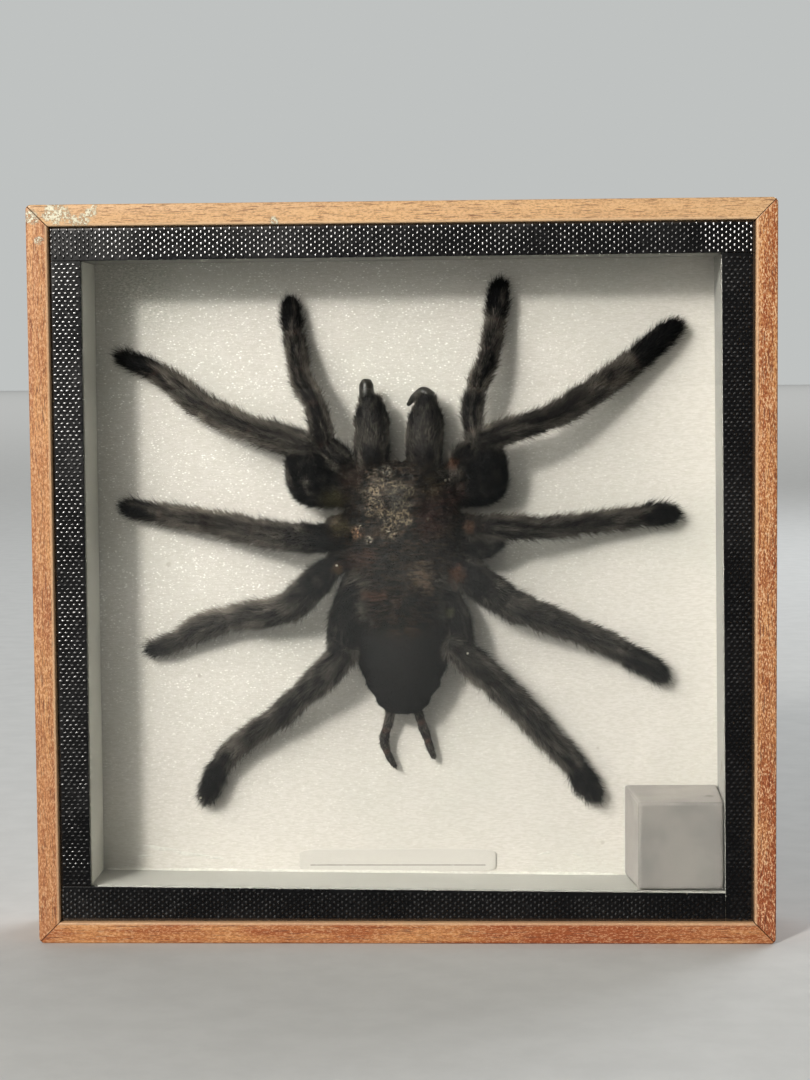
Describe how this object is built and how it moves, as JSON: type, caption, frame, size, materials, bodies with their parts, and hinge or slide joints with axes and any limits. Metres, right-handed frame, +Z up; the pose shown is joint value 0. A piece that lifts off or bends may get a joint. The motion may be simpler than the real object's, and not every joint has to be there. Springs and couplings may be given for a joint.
{
  "type": "framed tarantula specimen",
  "caption": "Square shallow display box with a wooden frame and taped glass front, holding a dried hairy spider spread flat on a white board.",
  "frame": {"origin": "under the middle of the box, on the surface that it stands on", "axes": "+X to the right seen from the front, +Y from the glass to the back panel, +Z up"},
  "size_m": [0.165, 0.028, 0.165],
  "materials": {
    "frame_wood": "varnished reddish brown hardwood with open pores",
    "binding_tape": "black cloth-textured tape with glossy raised beads",
    "pane": "clear flat glass",
    "white_card": "matte white card",
    "white_board": "off-white board with a pearly, slightly rough surface",
    "hardboard": "brown pressed hardboard",
    "label_paper": "smooth translucent white strip",
    "packet_paper": "plain folded white paper",
    "dried_spider": "dry dark brown cuticle under dense black-brown hair"
  },
  "bodies": {
    "root": {"wood_top": "frame_wood", "wood_left": "frame_wood", "wood_bottom": "frame_wood", "wood_right": "frame_wood", "tape_top": "binding_tape", "tape_left": "binding_tape", "tape_bottom": "binding_tape", "tape_right": "binding_tape", "glass": "pane", "spacer_top": "white_card", "spacer_bottom": "white_card", "spacer_left": "white_card", "spacer_right": "white_card", "backing_board": "white_board", "back_panel": "hardboard", "label": "label_paper", "corner_packet": "packet_paper", "tarantula": "dried_spider"}
  },
  "joints": []
}
